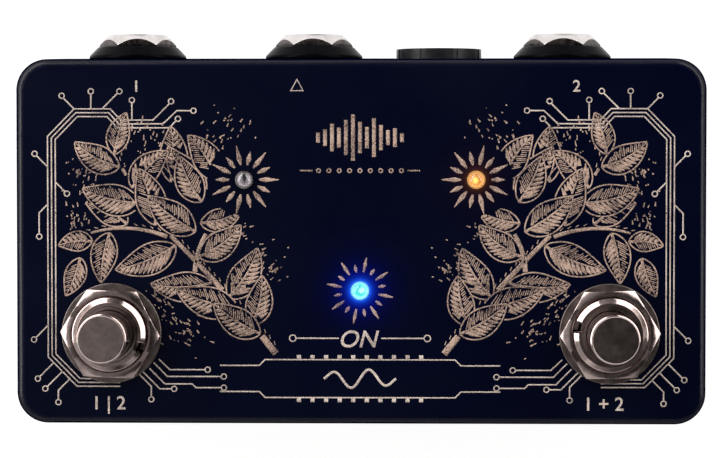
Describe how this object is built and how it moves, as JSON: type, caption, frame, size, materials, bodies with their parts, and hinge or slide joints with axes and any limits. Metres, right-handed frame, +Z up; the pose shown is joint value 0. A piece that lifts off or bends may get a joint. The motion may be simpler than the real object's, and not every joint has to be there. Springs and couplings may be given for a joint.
{
  "type": "ab switch pedal",
  "caption": "Foot-operated line switcher in a small cast box: two press buttons and status lamps on top, line sockets and a power socket at the rear.",
  "frame": {"origin": "bottom centre of the whole pedal's box, on the floor under the rubber feet", "axes": "+Z up, +Y towards the rear wall with the sockets, +X to the player's right"},
  "size_m": [0.1124, 0.0638, 0.0474],
  "materials": {
    "body_coat": "fine-grained dark navy powder coat on cast aluminium",
    "plate_coat": "fine-grained dark navy powder coat on a flat plate",
    "black_steel": "blackened steel",
    "foot_rubber": "matte black rubber",
    "switch_chrome": "warm grey bright plating",
    "socket_chrome": "bright plating",
    "zinc_steel": "zinc plated",
    "contact_metal": "tinned contact brass",
    "black_plastic": "satin black moulding",
    "switch_plastic": "blue moulding",
    "relay_plastic": "pale moulding",
    "chip_plastic": "black epoxy",
    "capacitor_sleeve": "dark sleeve",
    "circuit_board": "green solder mask",
    "clear_lens": "water-clear epoxy",
    "blue_lens": "clear epoxy, lit blue",
    "amber_lens": "clear epoxy, lit amber"
  },
  "bodies": {
    "housing": {"base_plate": "plate_coat", "base_plate_screws": "black_steel", "capacitors": "capacitor_sleeve", "centre_lamp": "blue_lens", "chip_legs": "contact_metal", "controller_chip": "chip_plastic", "diodes": "chip_plastic", "enclosure": "body_coat", "header_pins": "contact_metal", "header_spacers": "black_plastic", "lamp_leads": "contact_metal", "left_bush": "switch_chrome", "left_inner_nut": "zinc_steel", "left_jack_body": "black_plastic", "left_jack_flange": "black_plastic", "left_jack_nose": "socket_chrome", "left_jack_nut": "socket_chrome", "left_jack_tip_contact": "contact_metal", "left_lamp": "clear_lens", "left_lock_washer": "zinc_steel", "left_outer_nut": "switch_chrome", "left_outer_washer": "switch_chrome", "left_return_spring": "zinc_steel", "left_switch_body": "switch_plastic", "left_switch_terminals": "contact_metal", "main_board": "circuit_board", "middle_jack_body": "black_plastic", "middle_jack_flange": "black_plastic", "middle_jack_nose": "socket_chrome", "middle_jack_nut": "socket_chrome", "middle_jack_tip_contact": "contact_metal", "power_jack_body": "black_plastic", "power_jack_contact": "contact_metal", "power_jack_nut": "black_plastic", "power_jack_pin": "contact_metal", "regulator": "chip_plastic", "relay_pins": "contact_metal", "relays": "relay_plastic", "resistors": "chip_plastic", "right_bush": "switch_chrome", "right_inner_nut": "zinc_steel", "right_jack_body": "black_plastic", "right_jack_flange": "black_plastic", "right_jack_nose": "socket_chrome", "right_jack_nut": "socket_chrome", "right_jack_tip_contact": "contact_metal", "right_lamp": "amber_lens", "right_lock_washer": "zinc_steel", "right_outer_nut": "switch_chrome", "right_outer_washer": "switch_chrome", "right_return_spring": "zinc_steel", "right_switch_body": "switch_plastic", "right_switch_terminals": "contact_metal", "rubber_feet": "foot_rubber", "switch_board": "circuit_board"},
    "left_push_button": {"left_button": "switch_chrome", "left_contact_bridge": "contact_metal"},
    "right_push_button": {"right_button": "switch_chrome", "right_contact_bridge": "contact_metal"}
  },
  "joints": [
    {"name": "left_press", "type": "slide", "parent": "housing", "child": "left_push_button", "axis": [0, 0, -1], "range_m": [0, 0.003], "stiffness_N_per_m": 1500, "springref_m": -0.004, "deforming": ["left_return_spring"]},
    {"name": "right_press", "type": "slide", "parent": "housing", "child": "right_push_button", "axis": [0, 0, -1], "range_m": [0, 0.003], "stiffness_N_per_m": 1500, "springref_m": -0.004, "deforming": ["right_return_spring"]}
  ]
}
